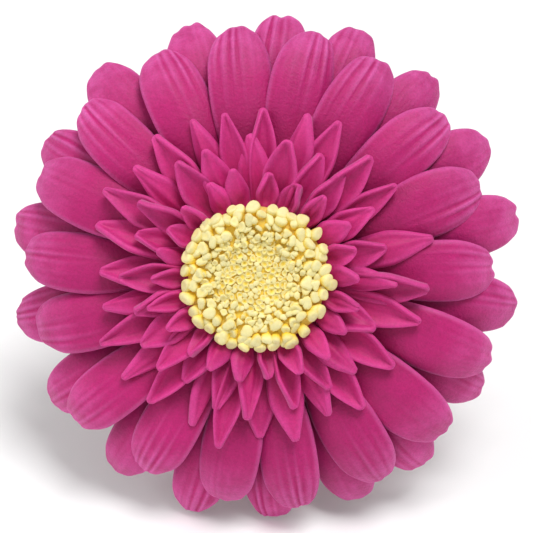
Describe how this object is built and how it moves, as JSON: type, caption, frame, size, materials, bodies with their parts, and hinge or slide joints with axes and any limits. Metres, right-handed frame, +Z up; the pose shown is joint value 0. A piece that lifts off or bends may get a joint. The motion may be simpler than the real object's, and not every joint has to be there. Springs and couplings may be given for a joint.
{
  "type": "cut gerbera",
  "caption": "Magenta gerbera flower head with broad rays, small inner florets and a yellow disc, on a short stem, lying on a table with its face tilted up.",
  "frame": {"origin": "centre of the bounding box's footprint, on the surface the flower lies on", "axes": "+Z up, -Y towards the side the face looks to, +Y along the stem to its cut end, +X to the right of someone facing the flower"},
  "size_m": [0.1104, 0.1902, 0.0959],
  "materials": {
    "ray_petals": "matte, velvety, lavender pink at the tips",
    "inner_petals": "matte, velvety",
    "disc": "matte, waxy",
    "bracts": "matte, slightly downy",
    "stem": "satin, downy"
  },
  "bodies": {
    "root": {"ray_back_01": "ray_petals", "ray_back_02": "ray_petals", "ray_back_03": "ray_petals", "ray_back_04": "ray_petals", "ray_back_05": "ray_petals", "ray_back_06": "ray_petals", "ray_back_07": "ray_petals", "ray_back_08": "ray_petals", "ray_back_09": "ray_petals", "ray_back_10": "ray_petals", "ray_back_11": "ray_petals", "ray_back_12": "ray_petals", "ray_back_13": "ray_petals", "ray_back_14": "ray_petals", "ray_back_15": "ray_petals", "ray_back_16": "ray_petals", "ray_back_17": "ray_petals", "ray_back_18": "ray_petals", "ray_front_01": "ray_petals", "ray_front_02": "ray_petals", "ray_front_03": "ray_petals", "ray_front_04": "ray_petals", "ray_front_05": "ray_petals", "ray_front_06": "ray_petals", "ray_front_07": "ray_petals", "ray_front_08": "ray_petals", "ray_front_09": "ray_petals", "ray_front_10": "ray_petals", "ray_front_11": "ray_petals", "ray_front_12": "ray_petals", "ray_front_13": "ray_petals", "ray_front_14": "ray_petals", "ray_front_15": "ray_petals", "ray_front_16": "ray_petals", "ray_front_17": "ray_petals", "ray_front_18": "ray_petals", "inner_florets_lower": "inner_petals", "inner_florets_middle": "inner_petals", "inner_florets_upper": "inner_petals", "disc_florets": "disc", "receptacle": "bracts", "bracts_inner": "bracts", "bracts_middle": "bracts", "bracts_outer": "bracts", "stem": "stem"}
  },
  "joints": []
}
